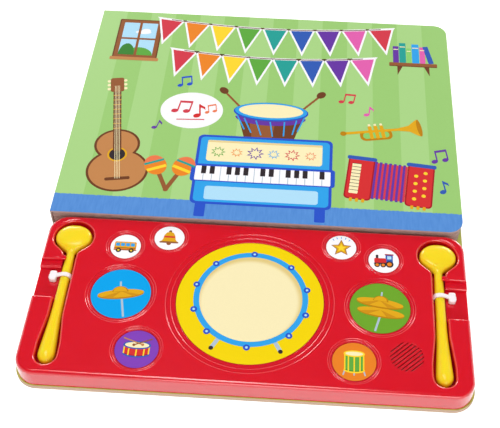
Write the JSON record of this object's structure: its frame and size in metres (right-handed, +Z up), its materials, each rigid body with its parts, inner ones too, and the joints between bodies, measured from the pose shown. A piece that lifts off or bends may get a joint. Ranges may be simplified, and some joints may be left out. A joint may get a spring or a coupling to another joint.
{
  "type": "board book with drum sound module",
  "caption": "Thick board book with a hinged picture cover beside a red moulded drum-kit sound module with press pads and two mallets held in slots.",
  "frame": {"origin": "middle of the underside of the back board", "axes": "+X to the reader's right, from the spine to the fore edge; +Y away from the reader, from the sound module to the book; +Z up out of the cover"},
  "size_m": [0.272, 0.332, 0.0185],
  "materials": {
    "board": "grey board wrapped in pale green printed paper, cut edges bare",
    "pages": "cut edges of thick laminated pages",
    "cover_print": "printed board with a smooth satin film",
    "red_plastic": "glossy moulded red plastic",
    "grey_plastic": "dark grey moulded plastic",
    "label_yellow": "printed film with a satin face",
    "label_blue": "printed film with a satin face",
    "label_green": "printed film with a satin face",
    "label_purple": "printed film with a satin face",
    "label_orange": "printed film with a satin face",
    "label_white": "printed film with a satin face",
    "mallet_yellow": "glossy moulded yellow plastic, a little translucent",
    "tie_nylon": "translucent natural nylon",
    "pcb": "green circuit board lacquer",
    "epoxy": "black potting over the sound chip",
    "silicone": "grey silicone rubber",
    "steel": "zinc and nickel plated steel",
    "speaker_paper": "dark pressed paper cone",
    "wire_red": "insulated wire",
    "wire_black": "insulated wire"
  },
  "bodies": {
    "root": {"back_board": "board", "page_block": "pages", "spine_wrap": "cover_print", "module_shell": "red_plastic", "module_base": "grey_plastic", "main_drum_dome": "silicone", "cymbal_left_dome": "silicone", "cymbal_right_dome": "silicone", "drum_left_dome": "silicone", "drum_right_dome": "silicone", "button_1_dome": "silicone", "button_2_dome": "silicone", "button_3_dome": "silicone", "button_4_dome": "silicone", "circuit_board": "pcb", "sound_chip": "epoxy", "speaker_frame": "steel", "speaker_cone": "speaker_paper", "speaker_magnet": "steel", "speaker_wire_red": "wire_red", "speaker_wire_black": "wire_black", "case_screw_1": "steel", "case_screw_2": "steel", "case_screw_3": "steel", "case_screw_4": "steel", "battery_door": "grey_plastic", "battery_door_screw": "steel", "battery_cell_1": "steel", "battery_cell_2": "steel", "battery_cell_3": "steel", "battery_contact_1": "steel", "battery_contact_2": "steel", "battery_contact_3": "steel", "battery_contact_4": "steel", "mallet_left": "mallet_yellow", "mallet_right": "mallet_yellow", "cable_tie_left": "tie_nylon", "cable_tie_right": "tie_nylon"},
    "cover": {"front_cover": "cover_print"},
    "main_drum": {"main_drum_pad": "red_plastic", "main_drum_label": "label_yellow"},
    "cymbal_left": {"cymbal_left_pad": "red_plastic", "cymbal_left_label": "label_blue"},
    "cymbal_right": {"cymbal_right_pad": "red_plastic", "cymbal_right_label": "label_green"},
    "drum_left": {"drum_left_pad": "red_plastic", "drum_left_label": "label_purple"},
    "drum_right": {"drum_right_pad": "red_plastic", "drum_right_label": "label_orange"},
    "button_1": {"button_1_pad": "red_plastic", "button_1_label": "label_white"},
    "button_2": {"button_2_pad": "red_plastic", "button_2_label": "label_white"},
    "button_3": {"button_3_pad": "red_plastic", "button_3_label": "label_white"},
    "button_4": {"button_4_pad": "red_plastic", "button_4_label": "label_white"}
  },
  "joints": [
    {"name": "cover_hinge", "type": "hinge", "parent": "root", "child": "cover", "pos_m": [-0.13615, 0.0606, 0.0165], "axis": [0, -1, 0], "range_deg": [0, 180]},
    {"name": "main_drum_press", "type": "slide", "parent": "root", "child": "main_drum", "axis": [0, 0, -1], "range_m": [0, 0.0012], "stiffness_N_per_m": 700, "springref_m": -0.0008, "deforming": ["main_drum_dome"]},
    {"name": "cymbal_left_press", "type": "slide", "parent": "root", "child": "cymbal_left", "axis": [0, 0, -1], "range_m": [0, 0.0012], "stiffness_N_per_m": 400, "springref_m": -0.0008, "deforming": ["cymbal_left_dome"]},
    {"name": "cymbal_right_press", "type": "slide", "parent": "root", "child": "cymbal_right", "axis": [0, 0, -1], "range_m": [0, 0.0012], "stiffness_N_per_m": 400, "springref_m": -0.0008, "deforming": ["cymbal_right_dome"]},
    {"name": "drum_left_press", "type": "slide", "parent": "root", "child": "drum_left", "axis": [0, 0, -1], "range_m": [0, 0.0012], "stiffness_N_per_m": 300, "springref_m": -0.0008, "deforming": ["drum_left_dome"]},
    {"name": "drum_right_press", "type": "slide", "parent": "root", "child": "drum_right", "axis": [0, 0, -1], "range_m": [0, 0.0012], "stiffness_N_per_m": 300, "springref_m": -0.0008, "deforming": ["drum_right_dome"]},
    {"name": "button_1_press", "type": "slide", "parent": "root", "child": "button_1", "axis": [0, 0, -1], "range_m": [0, 0.0012], "stiffness_N_per_m": 250, "springref_m": -0.0008, "deforming": ["button_1_dome"]},
    {"name": "button_2_press", "type": "slide", "parent": "root", "child": "button_2", "axis": [0, 0, -1], "range_m": [0, 0.0012], "stiffness_N_per_m": 250, "springref_m": -0.0008, "deforming": ["button_2_dome"]},
    {"name": "button_3_press", "type": "slide", "parent": "root", "child": "button_3", "axis": [0, 0, -1], "range_m": [0, 0.0012], "stiffness_N_per_m": 250, "springref_m": -0.0008, "deforming": ["button_3_dome"]},
    {"name": "button_4_press", "type": "slide", "parent": "root", "child": "button_4", "axis": [0, 0, -1], "range_m": [0, 0.0012], "stiffness_N_per_m": 250, "springref_m": -0.0008, "deforming": ["button_4_dome"]}
  ]
}
